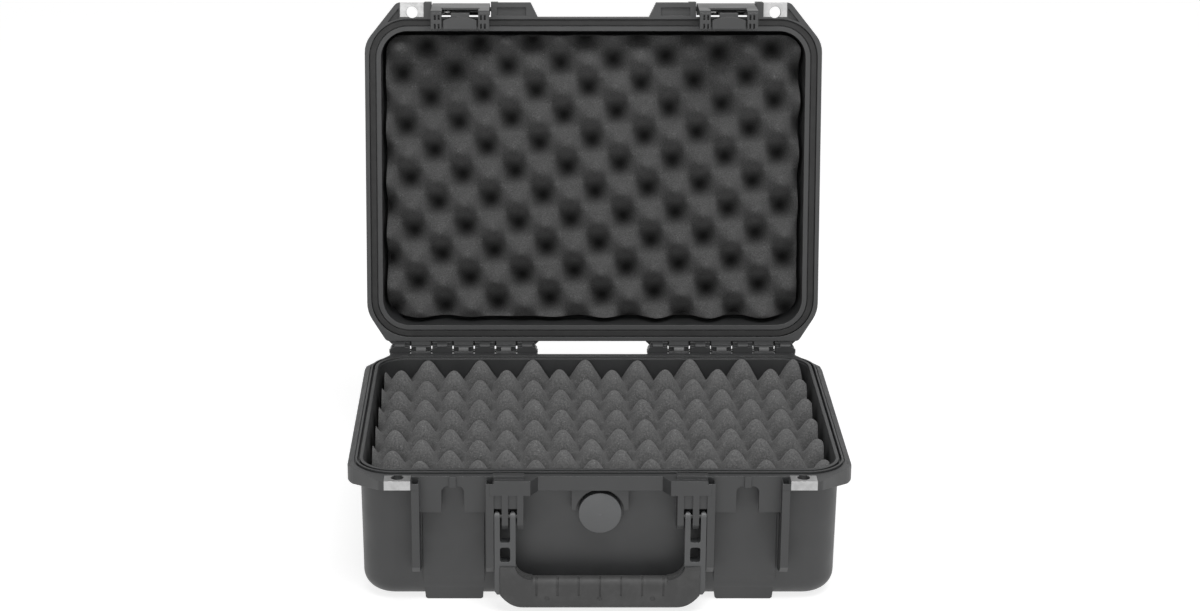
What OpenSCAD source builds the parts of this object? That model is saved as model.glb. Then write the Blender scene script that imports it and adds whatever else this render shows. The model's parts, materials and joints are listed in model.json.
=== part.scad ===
// Microphone case: a waterproof moulded case with a hinged lid, two trigger latches, a drop handle,
// a pressure valve, steel padlock plates and convoluted foam in the base and in the lid.
// Millimetres, +Z up, the front towards -Y, standing on its feet with the lid open at its stop.

/* [Case] */
// Width of the rim, side to side
case_w = 427; // [410:1:450]
// Depth of the rim, front to back
case_d = 308; // [295:1:330]
// Height of the base shell above its feet
base_h = 117.2; // [100:0.1:140]
// Height of the lid shell above the rim
lid_h = 52; // [48:1:80]
// Wall thickness of both shells
wall = 3; // [2.6:0.1:3.6]
// Draft of the walls, in degrees
draft = 0.8; // [0.2:0.1:1.2]
// Radius between the walls and the floor of the base, outside
base_fillet = 17; // [14:1:22]
// Radius between the walls and the top of the lid, outside
lid_fillet = 18; // [14:1:22]
// Angle between the closed lid and the lid at its stop
open_angle = 99.5; // [92:0.5:104]

/* [Rim] */
// Corner radius of the seal, taken at the rim's edge
rim_r = 40; // [38:1:44]
// Length that the chamfered rear corners take along the sides
rear_run = 28; // [24:1:32]
// Length that they take along the back
rear_chamfer = 18; // [14:1:20]
// How far the rim stands out from the walls
rim_out = 12; // [11.5:0.1:13]
// How far it stands out from the base's side walls
side_out = 10.4; // [10:0.1:12]
// Thickness of the flange
flange_t = 8; // [7:0.1:9]
// Depth of the base flange along the sides
side_band_h = 14.6; // [10:0.1:18]
// Height of the deeper band along the front
band_h = 13; // [11:0.1:14]
// Gap between the two rims when the lid is closed
seam = 0.3; // [0.2:0.05:0.5]
// Length that the chamfered front corners take along the sides
corner_run = 26; // [20:1:32]
// How far the tabs, ribs and lugs stand out in front of the rim
lug_out = 11.4; // [11:0.1:13]
// Width of the ribbed chamfer along each side of the base rim
side_chamfer_w = 5; // [3:0.1:5.1]
// Drop of that chamfer
side_chamfer_drop = 3; // [1:0.1:4]
// Fine ribs on that chamfer
side_ribs = 5; // [2:1:6]

/* [Seal] */
// Distance from the rim's edge to the middle of the sealing lip
lip_in = 7.3; // [7.2:0.1:7.5]
// Width of the sealing lip
lip_w = 1.6; // [1.2:0.1:1.8]
// Height of the sealing lip over the rim
lip_h = 1.5; // [1:0.1:1.8]
// Width of the gasket
gasket_w = 5; // [4:0.1:5.2]
// Side clearance of the gasket in its groove
gasket_gap = 0.8; // [0.4:0.1:0.9]
// Thickness of the gasket
gasket_t = 3; // [2.5:0.1:3.2]
// Gap between the lip and the gasket when the lid is closed
gasket_play = 0.3; // [0.2:0.05:0.4]
// Width of the raised ridge along the base's inner edge
ridge_w = 2.7; // [2.2:0.1:3]
// Height of that ridge over the rim
ridge_h = 1.8; // [1:0.1:2]

/* [Hinge] */
// Distance from the rim's rear edge to the hinge axis
hinge_out = 9.25; // [8.8:0.05:11]
// Radius of the hinge knuckles
knuckle_r = 6; // [5.5:0.1:6.3]
// Radius of the hinge pins
hinge_pin_r = 2; // [1.5:0.1:3]
// Length of each row of knuckles
hinge_len = 141; // [120:1:150]
// Distance from the centre line to the nearer end of each row
hinge_in = 51.8; // [45:0.1:60]
// Side gap between knuckles
knuckle_gap = 0.7; // [0.2:0.1:1]
// Radial clearance of every pin in its moving bore
pin_play = 0.06; // [0.02:0.01:0.09]

/* [Latches] */
// Width of a latch
latch_w = 53.6; // [50:0.1:54.6]
// Width of the bay that a latch closes into
bay_w = 55.6; // [55.4:0.1:58]
// Width of the long ribs beside a bay
rib_w = 6.6; // [6.2:0.1:7]
// Width of each latch arm
arm_w = 10; // [8:0.1:11]
// Distance from the rim's edge out to the latch pivot
latch_pivot_f = 5; // [4.8:0.1:5.4]
// Height of the latch pivot over the rim
latch_pivot_h = 9.5; // [9:0.1:11]
// Radius of the latch barrels
latch_barrel_r = 5.6; // [5:0.1:5.8]
// Radius of the latch pins
latch_pin_r = 2; // [1.5:0.1:2.5]
// Depth of the catch panel below the rim
panel_h = 32.5; // [30:0.5:36]
// Thickness of the catch panel
panel_t = 4; // [3:0.1:5]
// Thickness of the hooks under the catch panel
hook_t = 7.6; // [6:0.1:9]
// How far the hooks reach in behind the rim's edge
hook_in = 11.4; // [9:0.1:11.6]
// Width of a latch trigger's foot
trigger_w = 30.6; // [26:0.1:32]
// Radius of the trigger pins
trigger_pin_r = 1.25; // [1:0.05:1.5]
// Wire of the trigger springs
spring_wire = 0.8; // [0.6:0.05:0.9]
// Turns of each trigger spring
spring_turns = 4; // [3:1:4]

/* [Handle] */
// Distance from the centre line to the outer side of the handle
handle_half = 88.6; // [84:0.1:92]
// Gap between the handle's sides and the ribs beside them
handle_gap = 0.4; // [0.2:0.1:1]
// Height of the handle pivot below the rim
handle_drop = 33.2; // [31:0.1:34]
// Distance from the rim's edge out to the handle pivot
handle_f = 6.5; // [6:0.1:6.6]
// Radius of the handle's rounded ends
tine_r = 5; // [4:0.1:5.1]
// Radius of the handle pins
handle_pin_r = 2; // [1.5:0.1:2.5]
// Distance from the handle pivot down to the underside of the grip
handle_len = 82.4; // [76:0.1:83]
// Height of the grip
grip_h = 27.6; // [26.5:0.1:32]
// Thickness of the grip
grip_t = 13; // [11:0.1:14]
// Finger grooves on the face of the grip
grip_grooves = 7; // [3:1:9]
// Distance between the finger grooves
grip_pitch = 17.8; // [14:0.1:19]

/* [Padlock plates] */
// Gap between a plate and the rib beside it
plate_gap = 0.5; // [0.2:0.1:1]
// Width of a plate
plate_w = 22; // [18:0.1:22.4]
// Thickness of the steel
plate_t = 1; // [0.8:0.1:1.2]
// Radius of the padlock holes
eye_r = 5.4; // [4.5:0.1:5.6]
// Distance from the rim's edge out to the middle of a hole
eye_f = 2.4; // [2.2:0.1:3]

/* [Feet] */
// Height of the feet
foot_h = 2.8; // [2:0.1:6]
// Width of the feet
foot_w = 52.2; // [44:0.1:56]
// Length of the feet, front to back
foot_l = 40; // [30:1:60]
// Setback of the feet behind the rim's edge
foot_in = 18.8; // [16:0.1:22]

/* [Valve] */
// Height of the valve's axis below the rim
valve_drop = 34.2; // [32:0.1:37]
// Radius of the valve's cap
valve_r = 17.9; // [15:0.1:18.5]
// Radius of the threaded stem through the wall
valve_stem_r = 8; // [6:0.1:9]

/* [Foam] */
// Gap between the base foam and the walls at the rim
foam_gap = 4.3; // [4.2:0.1:7]
// Gap between the lid foam and the lid's walls at the rim
lid_foam_gap = 4.2; // [4:0.1:6]
// Distance between peaks along a row of the base foam
crate_pitch = 49; // [44:0.5:54]
// Distance between peaks along a row of the lid foam
lid_crate_pitch = 50; // [44:0.5:54]
// Half the height between peaks and pits
crate_amp = 16; // [10:0.1:17]
// Depth of the base foam's middle surface below the rim, at the middle of the case
crate_drop = 17; // [15:0.5:20]
// How much higher the base foam lies along its front and back edges
crate_bow = 2.5; // [0:0.1:4]
// How much higher its back edge lies than that, and its front edge lower
crate_tilt = 1.5; // [0:0.1:2]
// Depth of the lid foam's middle surface inside the lid
lid_crate_in = 26; // [25:0.5:30]
// Height of the plain foam block under the base's convoluted sheet
block_h = 50; // [30:1:60]

/* [Hidden] */
$fn = 48;

case_color = "#3a3c3d";
latch_color = "#454748";
grip_color = "#34373a";
steel_color = "#c9c9c4";
base_foam_color = "#8b8b8c";
lid_foam_color = "#5f6061";
seal_color = "#4a4c4d";

// Small amount by which a cut runs past a face, or a piece runs into the one it joins
over = 1;
half_w = case_w / 2;
half_d = case_d / 2;
rim_z = foot_h + base_h;
hinge_y = half_d + hinge_out;
// Width of the rim from its edge to the inside of the walls, and along the base's sides
rim_w = rim_out + wall;
side_rim_w = side_out + wall;
// Play between flat faces that may touch
face_gap = 0.2;

// Ribs, latches, plates and tabs along the front, by distance from the centre line
rib_in_x = handle_half + handle_gap;
latch_x = rib_in_x + rib_w + bay_w / 2;
rib_out_x = latch_x + bay_w / 2;
plate_x = rib_out_x + rib_w + plate_gap + plate_w / 2;
tab_edge = 3.4;
tab_out_x = plate_x + plate_w / 2 + tab_edge;
rib_front = lug_out - 0.4;
rib_top_drop = 2.6;
// Inner ends of ribs lie inside the wall
root_f = -(rim_out + wall * 0.7);
long_rib_h = 84;
long_rib_bottom = rim_z - long_rib_h;
lug_w = 30;
lug_in_x = handle_half - lug_w;
lug_slope = 6.6;
short_rib_w = 5.3;
short_rib_h = 44.5;
short_rib_bottom = rim_z - short_rib_h;
// Slots that the handle's tines hang in, by the distance of their middle from the centre line
tine_w = 4.6;
tine_out_x = handle_half - tine_w / 2;
tine_pitch = 13.2;
tine_in_x = tine_out_x - tine_pitch;
slot_play = 1.3;
short_rib_xs = [
  (tine_out_x + tine_in_x) / 2,
  tine_in_x - tine_w / 2 - slot_play - short_rib_w / 2
];
handle_z = rim_z - handle_drop;
handle_y = -half_d - handle_f;
pocket_depth = 10;
pocket_wall = 0.9;
handle_pin_x = short_rib_xs[1] - short_rib_w / 2 + pocket_wall;
handle_pin_len = rib_in_x + rib_w - handle_pin_x;
locator_w = 26;
locator_x = rib_in_x - locator_w / 2 + 0.5;
locator_h = 3;
locator_out = 6.5;
locator_play = 0.5;

// Latch heights, measured up from the rim
hook_top = -panel_h - 0.5;
hook_bottom = hook_top - hook_t;
cover_end = -24;
cover_t = 1.9;
trigger_f = 4.2;
trigger_h = -13.5;
trigger_hub_r = 2.2;
trigger_hub_w = 17;
trigger_foot_t = 3.6;
trigger_foot_h = hook_bottom + 0.4;
arm_in_f = 0.9;
arm_top_f = 9.8;
arm_tip_f = 5.6;
arm_in_x = latch_w / 2 - arm_w;
lid_front_in = 2;

// Seal sections
groove_w = gasket_w + 2 * gasket_gap;
groove_in = lip_in - groove_w / 2;
groove_d = lip_h + gasket_play - seam + gasket_t;
lid_step = ridge_h + 0.3;

// Valve, measured out from the rim's edge along -Y
valve_z = rim_z - valve_drop;
boss_f = -(rim_out - 0.5);
boss_in_f = -(rim_w + 1.5);
valve_seal_t = 1.2;
valve_flange_t = 2.5;
valve_flange_r = valve_r - 4;
valve_nut_t = 3;
bracket_f = -4;
bracket_half = 24;
bracket_h = 19.5;

// The part's origin is under the middle of its outline, between the handle's face and the open lid
lean = open_angle - 90;
front_y = handle_y - grip_t / 2;
lid_arc_v = hinge_out + case_d - rim_out - lid_arc_inset();
rear_y = hinge_y + lid_arc_v * sin(lean) + (seam + lid_h - lid_fillet) * cos(lean) + lid_fillet;
shift_y = -(front_y + rear_y) / 2;

// Distance from the lid's wall at the rim to the middle of its top fillet
function lid_arc_inset() = (lid_fillet + (lid_h - lid_fillet) * sin(draft)) / cos(draft);
// Y of a place f in front of the rim's front edge
function fy(f) = -half_d - f;
// Points given as [f, height over the rim], turned into Y and Z
function fh(points) = [for (p = points) [fy(p[0]), rim_z + p[1]]];
// Rounds off an outline's corner that lies between two points, starting a run before it
function eased(corner, before, after, run) =
  let (
    a = corner + (before - corner) * run / norm(before - corner),
    b = corner + (after - corner) * run / norm(after - corner)
  )
  [for (i = [0:4]) let (s = i / 4) a * (1 - s) * (1 - s) + corner * 2 * s * (1 - s) + b * s * s];
function mirrored(points) = [for (i = [len(points) - 1:-1:0]) [-points[i][0], points[i][1]]];

// ---------------------------------------------------------------- helpers

module placed() {
  translate([0, shift_y, 0]) children();
}

// Moves a closed lid's piece to its place on the open lid
module on_lid() {
  translate([0, shift_y + hinge_y, rim_z])
    rotate([-open_angle, 0, 0])
      translate([0, -hinge_y, -rim_z])
        children();
}

// Extrudes a YZ outline along X, from x0 over a length
module along_x(x0, length) {
  translate([x0, 0, 0]) rotate([90, 0, 90]) linear_extrude(length) children();
}

// Extrudes an XZ outline along Y, from y0 backwards over a length
module along_y(y0, length) {
  translate([0, y0 + length, 0]) rotate([90, 0, 0]) linear_extrude(length) children();
}

module both_sides() {
  children();
  mirror([1, 0, 0]) children();
}

// Runs a section round a rounded rectangle. In the section x is the distance outside its edge.
module round_ring(w, d, r) {
  for (sx = [-1, 1], sy = [-1, 1])
    mirror([sx < 0 ? 1 : 0, 0, 0])
      mirror([0, sy < 0 ? 1 : 0, 0])
        translate([w / 2 - r, d / 2 - r, 0])
          rotate_extrude(angle = 90) translate([r, 0]) children();
  for (s = [0, 1]) {
    mirror([s, 0, 0])
      translate([w / 2, d / 2 - r, 0]) rotate([90, 0, 0]) linear_extrude(d - 2 * r) children();
    mirror([0, s, 0])
      translate([-w / 2 + r, d / 2, 0]) rotate([90, 0, 90]) linear_extrude(w - 2 * r) children();
  }
}

// Outer part of an upright section with a drafted wall and a filleted foot, that stops short of r
module tub_section(r, h, fillet) {
  mid = -(fillet + (h - fillet) * sin(draft)) / cos(draft);
  foot = [mid + fillet * cos(draft), fillet - fillet * sin(draft)];
  polygon([[over - r, 0], [mid, 0], [mid, fillet], foot, [0, h], [over - r, h]]);
  intersection() {
    translate([mid, fillet]) circle(fillet);
    translate([mid, 0]) square([fillet * 1.1, fillet]);
  }
}

// Solid rounded box, widest at the top, with a filleted bottom on z = 0
module tub(w, d, r, h, fillet) {
  round_ring(w, d, r) tub_section(r, h, fillet);
  core(w, d, r, h);
}

// Block that fills the inside of a ring whose section stops short of r
module core(w, d, r, h) {
  in = r - 2 * over;
  translate([in - w / 2, in - d / 2, 0]) cube([w - 2 * in, d - 2 * in, h]);
}

module rounded_plan(w, d, r) {
  square([w - 2 * r, d], center = true);
  square([w, d - 2 * r], center = true);
  for (sx = [-1, 1], sy = [-1, 1])
    translate([sx * (w / 2 - r), sy * (d / 2 - r)]) circle(r);
}

// ---------------------------------------------------------------- rim, shared by base and lid

// Outline of the flange: chamfered rear corners, and front corners that run out into the tabs
module rim_plan(front_in) {
  back = [half_w - rear_chamfer, half_d];
  rear = [half_w, half_d - rear_run];
  side = [half_w, fy(-corner_run)];
  tab = [tab_out_x, fy(lug_out)];
  right = concat(
    eased(back, [0, half_d], rear, 3),
    eased(rear, back, side, 9),
    eased(side, rear, tab, 9),
    eased(tab, side, [rib_out_x, fy(lug_out)], 3),
    [[rib_out_x, fy(lug_out)], [rib_out_x, fy(-front_in)]]
  );
  polygon(concat(right, mirrored(right)));
}

// Outline of the deeper front block: lugs beside the ribs, and the band between them
module front_plan(front_in) {
  right = [
    [rib_in_x + rib_w / 2, fy(-rim_out - over)],
    [rib_in_x + rib_w / 2, fy(lug_out)],
    [lug_in_x, fy(lug_out)],
    [lug_in_x - lug_slope, fy(-front_in)]
  ];
  polygon(concat(right, mirrored(right)));
}

module rib_pair_positions() {
  for (x = [rib_in_x, rib_out_x])
    translate([x, 0, 0]) children();
}

// How far a padlock plate reaches in behind the rim's edge
plate_back = 1.8;

// What lies inside a plate that is bent round a tab between z0 and z1
module inside_plate(z0, z1) {
  translate([plate_x - plate_w / 2 - over, fy(lug_out - plate_t), z0 + plate_t])
    cube([plate_w + 2 * over, lug_out + plate_back + over, z1 - z0 - 2 * plate_t]);
}

// Seat that a plate lies in, cut out of its tab
module plate_seat(z0, z1) {
  difference() {
    translate([plate_x - plate_w / 2, fy(lug_out + over), z0 - over])
      cube([plate_w, lug_out + over + plate_back, z1 - z0 + 2 * over]);
    inside_plate(z0, z1);
  }
}

module plate(z0, z1) {
  difference() {
    translate([plate_x - plate_w / 2, fy(lug_out), z0])
      cube([plate_w, lug_out + plate_back, z1 - z0]);
    inside_plate(z0, z1);
    eye(z0, z1);
  }
}

module eye(z0, z1) {
  translate([plate_x, fy(eye_f), z0 - over]) cylinder(h = z1 - z0 + 2 * over, r = eye_r);
}

// ---------------------------------------------------------------- base shell

module base_flange() {
  translate([0, 0, rim_z - flange_t]) linear_extrude(flange_t) rim_plan(0);
  translate([0, 0, rim_z - band_h]) linear_extrude(band_h) front_plan(0);
  intersection() {
    translate([0, 0, rim_z - side_band_h]) linear_extrude(side_band_h) rim_plan(0);
    both_sides() side_band();
  }
}

side_band_flat = 5;

// Front outline of the deeper flange along a side, which slopes up to the tab
module side_band() {
  along_y(fy(lug_out + over), case_d + lug_out + 2 * over)
    polygon([
      [tab_out_x, rim_z], [tab_out_x, rim_z - flange_t],
      [half_w - side_band_flat, rim_z - side_band_h], [half_w + over, rim_z - side_band_h],
      [half_w + over, rim_z]
    ]);
}

// Distance from the base's side walls, inside, to the ridge
ridge_in = 0.4;

// Sealing lip and inner ridge that stand over the rim
module base_seal_ridges() {
  translate([0, 0, rim_z - over])
    round_ring(case_w, case_d, rim_r) {
      union() {
        translate([-lip_in - lip_w / 2, 0]) square([lip_w, lip_h + over]);
        translate([ridge_in - side_rim_w, 0]) square([ridge_w, ridge_h + over]);
      }
    }
}

groove_out_w = 1.3;
groove_out_d = 1.2;
groove_inner_d = 2.5;

// Grooves on either side of the sealing lip
module base_seal_grooves() {
  lip_edge = -lip_in + lip_w / 2;
  inner_edge = ridge_in - side_rim_w + ridge_w;
  translate([0, 0, rim_z])
    round_ring(case_w, case_d, rim_r) {
      union() {
        translate([lip_edge, -groove_out_d]) square([groove_out_w, groove_out_d + over]);
        translate([inner_edge, -groove_inner_d])
          square([-lip_in - lip_w / 2 - inner_edge, groove_inner_d + over]);
      }
    }
}

// Ribbed chamfer along one side, cut from the flange's upper edge
module side_chamfer() {
  steps = 2 * side_ribs;
  slope = [
    for (i = [0:steps])
      [
        half_w - side_chamfer_w * i / steps,
        rim_z - side_chamfer_drop * (1 - i / steps) - (i % 2) * 0.5
      ]
  ];
  outside = [[half_w - side_chamfer_w, rim_z + over], [half_w + over, rim_z + over]];
  along_y(fy(-corner_run), case_d - corner_run - rear_run)
    polygon(concat(slope, outside, [[half_w + over, rim_z - side_chamfer_drop]]));
}

// The same chamfer, plain, along a rear corner
module rear_corner_chamfer() {
  run = norm([rear_chamfer, rear_run]);
  translate([half_w, half_d - rear_run, rim_z])
    rotate(atan2(rear_chamfer, rear_run))
      rotate([90, 0, 180])
        linear_extrude(run + side_chamfer_w)
          polygon([
            [-over, -side_chamfer_drop], [0, -side_chamfer_drop], [side_chamfer_w, 0],
            [side_chamfer_w, over], [-over, over]
          ]);
}

long_rib_slope = 6;
long_rib_tip = 5;

// Long rib beside a latch bay
module long_rib(x) {
  along_x(x, rib_w)
    polygon([
      [fy(root_f), rim_z], [fy(rib_front), rim_z],
      [fy(rib_front), long_rib_bottom + long_rib_slope], [fy(rib_front - long_rib_tip), long_rib_bottom],
      [fy(root_f), long_rib_bottom - long_rib_slope]
    ]);
}

// Pocket in a rib's top, and the step down to it from the rim
module long_rib_pocket(x) {
  translate([x + pocket_wall, fy(rib_front - pocket_wall), rim_z - pocket_depth])
    cube([rib_w - 2 * pocket_wall, rib_front - 2 * pocket_wall, pocket_depth + over]);
  translate([x, fy(lug_out + over), rim_z - rib_top_drop])
    cube([rib_w, lug_out + over - pocket_wall, rib_top_drop + over]);
}

short_rib_slope = 5;
short_rib_tip = 3.5;

// Short rib that carries the handle pin
module short_rib(x) {
  along_x(x - short_rib_w / 2, short_rib_w)
    polygon([
      [fy(root_f), rim_z - band_h + over], [fy(lug_out), rim_z - band_h + over],
      [fy(lug_out), short_rib_bottom + short_rib_slope], [fy(lug_out - short_rib_tip), short_rib_bottom],
      [fy(root_f), short_rib_bottom - short_rib_slope]
    ]);
}

web_drop = 25.7;
web_f = 9;

// Webs that close the tops of the tine slots
module slot_webs() {
  translate([short_rib_xs[1], fy(web_f), rim_z - web_drop])
    cube([rib_in_x + over - short_rib_xs[1], web_f - root_f, web_drop - band_h + over]);
}

notch_w = 18.8;
notch_r = 5;
notch_drop = 9;
peg_w = 5.8;
peg_out = 1.6;
peg_h = 9.8;

// Panel that the latch hooks pull on, with its arched notch
module catch_panel() {
  translate([latch_x, 0, 0])
    along_y(fy(0), panel_t)
      difference() {
        translate([-bay_w / 2 - over, rim_z - panel_h]) square([bay_w + 2 * over, panel_h - over]);
        translate([0, rim_z - notch_drop - panel_h / 2]) rounded_plan(notch_w, panel_h, notch_r);
      }
  translate([latch_x - peg_w / 2, fy(peg_out), rim_z - peg_h])
    cube([peg_w, peg_out + over, peg_h]);
}

column_top = rim_z - panel_h;
column_root = wall * 0.7;
column_h = base_fillet + 8;
column_out = 0.6;
tread_edge = 3.3;

// Half of a foot's front outline, widest above the fillet
foot_side = [
  [foot_w / 2 - tread_edge, 0], [foot_w / 2 - tread_edge / 2, foot_h / 2],
  [foot_w / 2, column_h], [foot_w / 2, column_top]
];

// Column under the catch panel that ends in a front foot, and the foot's flat tread
module front_foot() {
  wall_f = -rim_out + column_out;
  tread_end = fy(-foot_in - foot_l);
  translate([latch_x, 0, 0])
    intersection() {
      along_y(fy(0), foot_in + foot_l + over) polygon(concat(foot_side, mirrored(foot_side)));
      along_x(-foot_w, 2 * foot_w)
        polygon([
          [fy(-foot_in), 0], [fy(wall_f), column_h], [fy(wall_f - over), column_top],
          [fy(-rim_out - column_root), column_top], [fy(-rim_out - column_root), column_h],
          [tread_end, foot_h + over], [tread_end, 0]
        ]);
    }
}

rear_foot_in = 16;

// Rear foot, run up into the rounded edge of the floor
module rear_foot() {
  tread_w = foot_w - 2 * tread_edge;
  back_y = half_d - rim_out - rear_foot_in;
  along_x(latch_x - tread_w / 2, tread_w)
    polygon([
      [back_y - foot_l, 0], [back_y, 0], [back_y + foot_h, foot_h + over],
      [back_y - foot_l, foot_h + over]
    ]);
}

// Hinge knuckles: each row has seven, the even ones on the base and the odd ones on the lid
knuckles = 7;
knuckle_pitch = hinge_len / knuckles;

knuckle_w = knuckle_pitch - 2 * knuckle_gap;
knuckle_root_h = 28;
tooth_r = hinge_out - 0.3;
tooth_back = 1.5;
tooth_pocket_w = 4.4;
tooth_pocket_z = 5.4;
tooth_pocket_d = 5;
row_end_slope = 4;

// Side outline of a base knuckle, with a tooth over it that fills the gap under the open lid
module base_knuckle_section() {
  translate([hinge_y, rim_z]) {
    circle(knuckle_r);
    intersection() {
      circle(tooth_r);
      translate([-knuckle_r, 0]) square([knuckle_r + tooth_back, tooth_r]);
    }
  }
  polygon([
    [half_d - rim_out - over, rim_z - over], [hinge_y - knuckle_r, rim_z - over],
    [hinge_y - knuckle_r, rim_z], [hinge_y, rim_z], [hinge_y, rim_z - knuckle_r],
    [half_d + 2, rim_z - side_band_h], [half_d - rim_out - over, rim_z - knuckle_root_h]
  ]);
}

// Flat face that the lid's heels come to rest against
stop_y = hinge_y - knuckle_r - 1;

module base_hinge_row() {
  difference() {
    for (i = [0:2:knuckles - 1])
      translate([hinge_in + i * knuckle_pitch + knuckle_gap, 0, 0])
        difference() {
          along_x(0, knuckle_w) base_knuckle_section();
          for (x = [-over, knuckle_w - tooth_pocket_w])
            translate([x, hinge_y - knuckle_r - over, rim_z + tooth_pocket_z])
              cube([tooth_pocket_w + over, tooth_pocket_d + over, tooth_r]);
        }
    for (s = [0, 1])
      translate([s * (2 * hinge_in + hinge_len), 0, 0]) mirror([s, 0, 0]) row_end();
  }
  translate([hinge_in, half_d - over, rim_z - flange_t])
    cube([hinge_len, stop_y - half_d + over, flange_t]);
}

// Slope that is cut from the end of a row, over the pin
module row_end() {
  along_y(half_d, 2 * hinge_out)
    polygon([
      [hinge_in - over, rim_z + hinge_pin_r], [hinge_in + knuckle_gap, rim_z + hinge_pin_r],
      [hinge_in + knuckle_gap + row_end_slope, rim_z + tooth_r + over],
      [hinge_in - over, rim_z + tooth_r + over]
    ]);
}

module hinge_bore(r) {
  translate([hinge_in - over, hinge_y, rim_z])
    rotate([0, 90, 0]) cylinder(h = hinge_len + 2 * over, r = r);
}

// Panel behind the valve, with a round recess for its cap
module valve_bracket() {
  translate([-bracket_half, fy(bracket_f), rim_z - band_h - bracket_h])
    cube([2 * bracket_half, bracket_f - root_f, bracket_h + over]);
}

module valve_cylinder(r, f0, f1) {
  translate([0, fy(f0), valve_z]) rotate([90, 0, 0]) cylinder(h = f1 - f0, r = r);
}

module handle_bores() {
  translate([handle_pin_x, handle_y, handle_z])
    rotate([0, 90, 0]) cylinder(h = handle_pin_len + over, r = handle_pin_r);
}

module base_outer() {
  translate([0, 0, foot_h])
    tub(case_w - 2 * side_out, case_d - 2 * rim_out, rim_r - side_out, base_h, base_fillet);
  base_flange();
  base_seal_ridges();
  valve_bracket();
  both_sides() {
    long_rib(rib_out_x);
    long_rib(rib_in_x);
    for (x = short_rib_xs) short_rib(x);
    slot_webs();
    catch_panel();
    front_foot();
    rear_foot();
    base_hinge_row();
    translate([locator_x - locator_w / 2, fy(locator_out), rim_z - over])
      cube([locator_w, locator_out, locator_h + over]);
  }
}

module base_cavity() {
  inner_w = case_w - 2 * side_rim_w;
  inner_d = case_d - 2 * rim_w;
  translate([0, 0, foot_h + wall])
    tub(inner_w, inner_d, rim_r - side_rim_w, base_h - wall, base_fillet - wall);
  translate([0, 0, rim_z - over / 2])
    linear_extrude(2 * over + ridge_h) rounded_plan(inner_w, inner_d, rim_r - side_rim_w);
}

module base_shell() {
  color(case_color) placed() difference() {
    union() {
      difference() {
        base_outer();
        base_cavity();
        base_seal_grooves();
        valve_cylinder(valve_r + 2.6, boss_f, over);
        both_sides() {
          side_chamfer();
          rear_corner_chamfer();
          long_rib_pocket(rib_out_x);
          long_rib_pocket(rib_in_x);
          plate_seat(rim_z - flange_t, rim_z);
        }
      }
      valve_cylinder(valve_r + 2.6, -rim_w, boss_f);
      valve_cylinder(valve_stem_r + 5, boss_in_f, -rim_w);
    }
    valve_cylinder(valve_stem_r + pin_play, boss_in_f - over, boss_f + over);
    both_sides() {
      eye(rim_z - flange_t, rim_z);
      handle_bores();
      hinge_bore(hinge_pin_r);
    }
  }
}

// ---------------------------------------------------------------- lid shell, drawn closed

lid_rib_out = 12;
lid_rib_top = 36;

module lid_rib(x) {
  along_x(x, rib_w)
    polygon(fh([
      [root_f, seam], [lid_rib_out, seam], [lid_rib_out, 15], [-6, lid_rib_top],
      [root_f, lid_rib_top]
    ]));
}

// Lid knuckle, with a heel that meets the base when the lid is open
module lid_knuckle_section() {
  heel_y = stop_y + face_gap;
  translate([hinge_y, rim_z]) circle(knuckle_r);
  polygon([
    [hinge_y - knuckle_r, rim_z + seam + 0.2], [hinge_y, rim_z], [hinge_y, rim_z + knuckle_r],
    [half_d, rim_z + flange_t + 6], [half_d - rim_out - over, rim_z + 28],
    [half_d - rim_out - over, rim_z + seam + 0.2]
  ]);
  translate([hinge_y, rim_z])
    rotate(open_angle)
      translate([heel_y - hinge_y, -3]) square([knuckle_r - 2, 3]);
}

lid_pocket_w = 4.6;
lid_pocket_z = 1.4;
lid_pocket_h = 3.5;
lid_pocket_in = 1.6;

module lid_hinge_row() {
  for (i = [1:2:knuckles - 2])
    translate([hinge_in + i * knuckle_pitch + knuckle_gap, 0, 0])
      difference() {
        along_x(0, knuckle_w) lid_knuckle_section();
        for (x = [-over, knuckle_w - lid_pocket_w])
          along_x(x, lid_pocket_w + over)
            translate([hinge_y, rim_z])
              rotate(open_angle)
                translate([-2 * knuckle_r, lid_pocket_z])
                  square([2 * knuckle_r - lid_pocket_in, lid_pocket_h]);
      }
  lid_hinge_web();
}

web_over = 10;
web_t = 3;
web_back = 3;
web_slant = 2.7;
web_taper = 6.5;

// Shelf over each row of knuckles, which closes the view between the lid and the base when it is open
module lid_hinge_web() {
  wall_y = half_d - rim_out - over;
  x0 = hinge_in - web_slant;
  x1 = hinge_in + hinge_len + web_slant;
  intersection() {
    along_x(x0, x1 - x0)
      polygon([
        [wall_y, rim_z + flange_t - over], [half_d - over, rim_z + flange_t - over],
        [half_d - over, rim_z + web_over], [hinge_y - web_back, rim_z + web_over],
        [hinge_y - web_back, rim_z + web_over + web_t], [wall_y, rim_z + web_over + web_t]
      ]);
    linear_extrude(2 * rim_z)
      polygon([
        [x0, wall_y], [x0, half_d], [x0 + web_taper, hinge_y - web_back],
        [x1 - web_taper, hinge_y - web_back], [x1, half_d], [x1, wall_y]
      ]);
  }
}

corner_pocket_d = 4;
corner_pocket_x = 2.2;
corner_pocket_w = 10.4;

// Triangular pocket between the seal and the outer web of each front corner
module corner_pocket() {
  x0 = tab_out_x - corner_pocket_x;
  translate([0, 0, rim_z + seam - over])
    linear_extrude(corner_pocket_d + over)
      polygon([[x0, fy(6.3)], [x0, fy(-3.2)], [x0 + corner_pocket_w, fy(-6.5)]]);
}

lid_panel_h = 2;
lid_panel_in = 34;
lid_panel_r = 12;

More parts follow.
